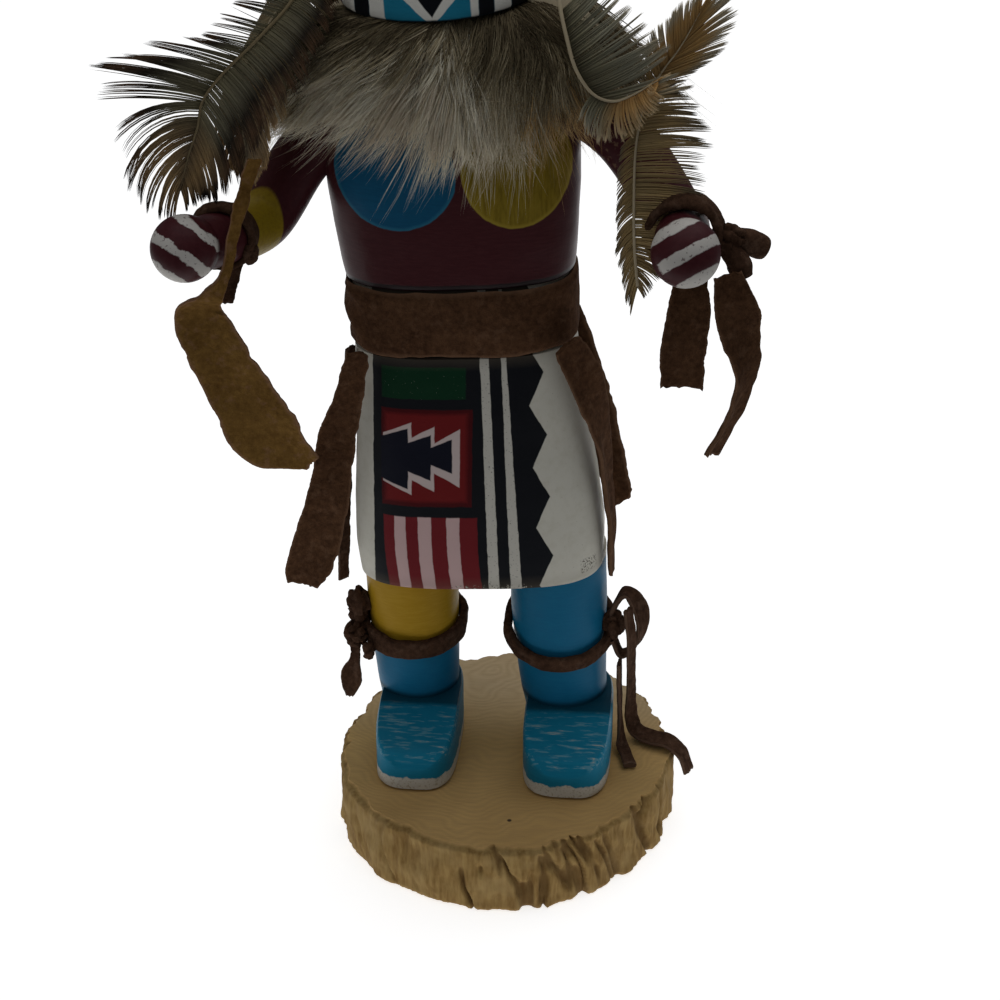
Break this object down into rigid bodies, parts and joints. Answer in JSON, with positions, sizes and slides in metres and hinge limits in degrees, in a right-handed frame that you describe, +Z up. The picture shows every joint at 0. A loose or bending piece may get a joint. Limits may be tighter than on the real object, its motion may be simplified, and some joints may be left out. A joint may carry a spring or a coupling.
{
  "type": "kachina doll",
  "caption": "Carved, painted wooden doll on a round slice of wood, dressed in suede belt, ties and tails, a fur ruff and feathers.",
  "frame": {"origin": "centre of the wood slice's flat underside", "axes": "+Z up the doll, the doll faces -Y, its own right hand at -X"},
  "size_m": [0.1334, 0.0854, 0.2641],
  "materials": {
    "bare_wood": "bare sanded top, rough peeled edge",
    "painted_wood": "satin hand paint in white, maroon, blue, yellow and black",
    "painted_arm": "satin maroon hand paint",
    "brown_suede": "napped brown suede",
    "tan_suede": "napped tan suede",
    "dark_thong": "napped dark brown suede thong",
    "rabbit_fur": "long soft fur, white to grey-brown",
    "feather": "tan and dark barred feather"
  },
  "bodies": {
    "root": {"base_slice": "bare_wood", "carved_figure": "painted_wood", "right_arm": "painted_arm", "left_arm": "painted_arm", "belt": "brown_suede", "right_belt_tail": "brown_suede", "left_belt_tail": "brown_suede", "left_belt_tail_rear": "brown_suede", "right_belt_thong": "dark_thong", "right_leg_tie": "dark_thong", "left_leg_tie": "dark_thong", "left_leg_thong": "dark_thong", "left_leg_strap": "dark_thong", "right_wrist_tie": "dark_thong", "right_wrist_strip": "tan_suede", "left_wrist_tie": "brown_suede", "left_wrist_short_tail": "brown_suede", "left_wrist_long_tail": "brown_suede", "fur_ruff": "rabbit_fur", "right_side_feather": "feather", "right_under_feather": "feather", "left_side_feather": "feather", "left_hand_feather": "feather"}
  },
  "joints": []
}
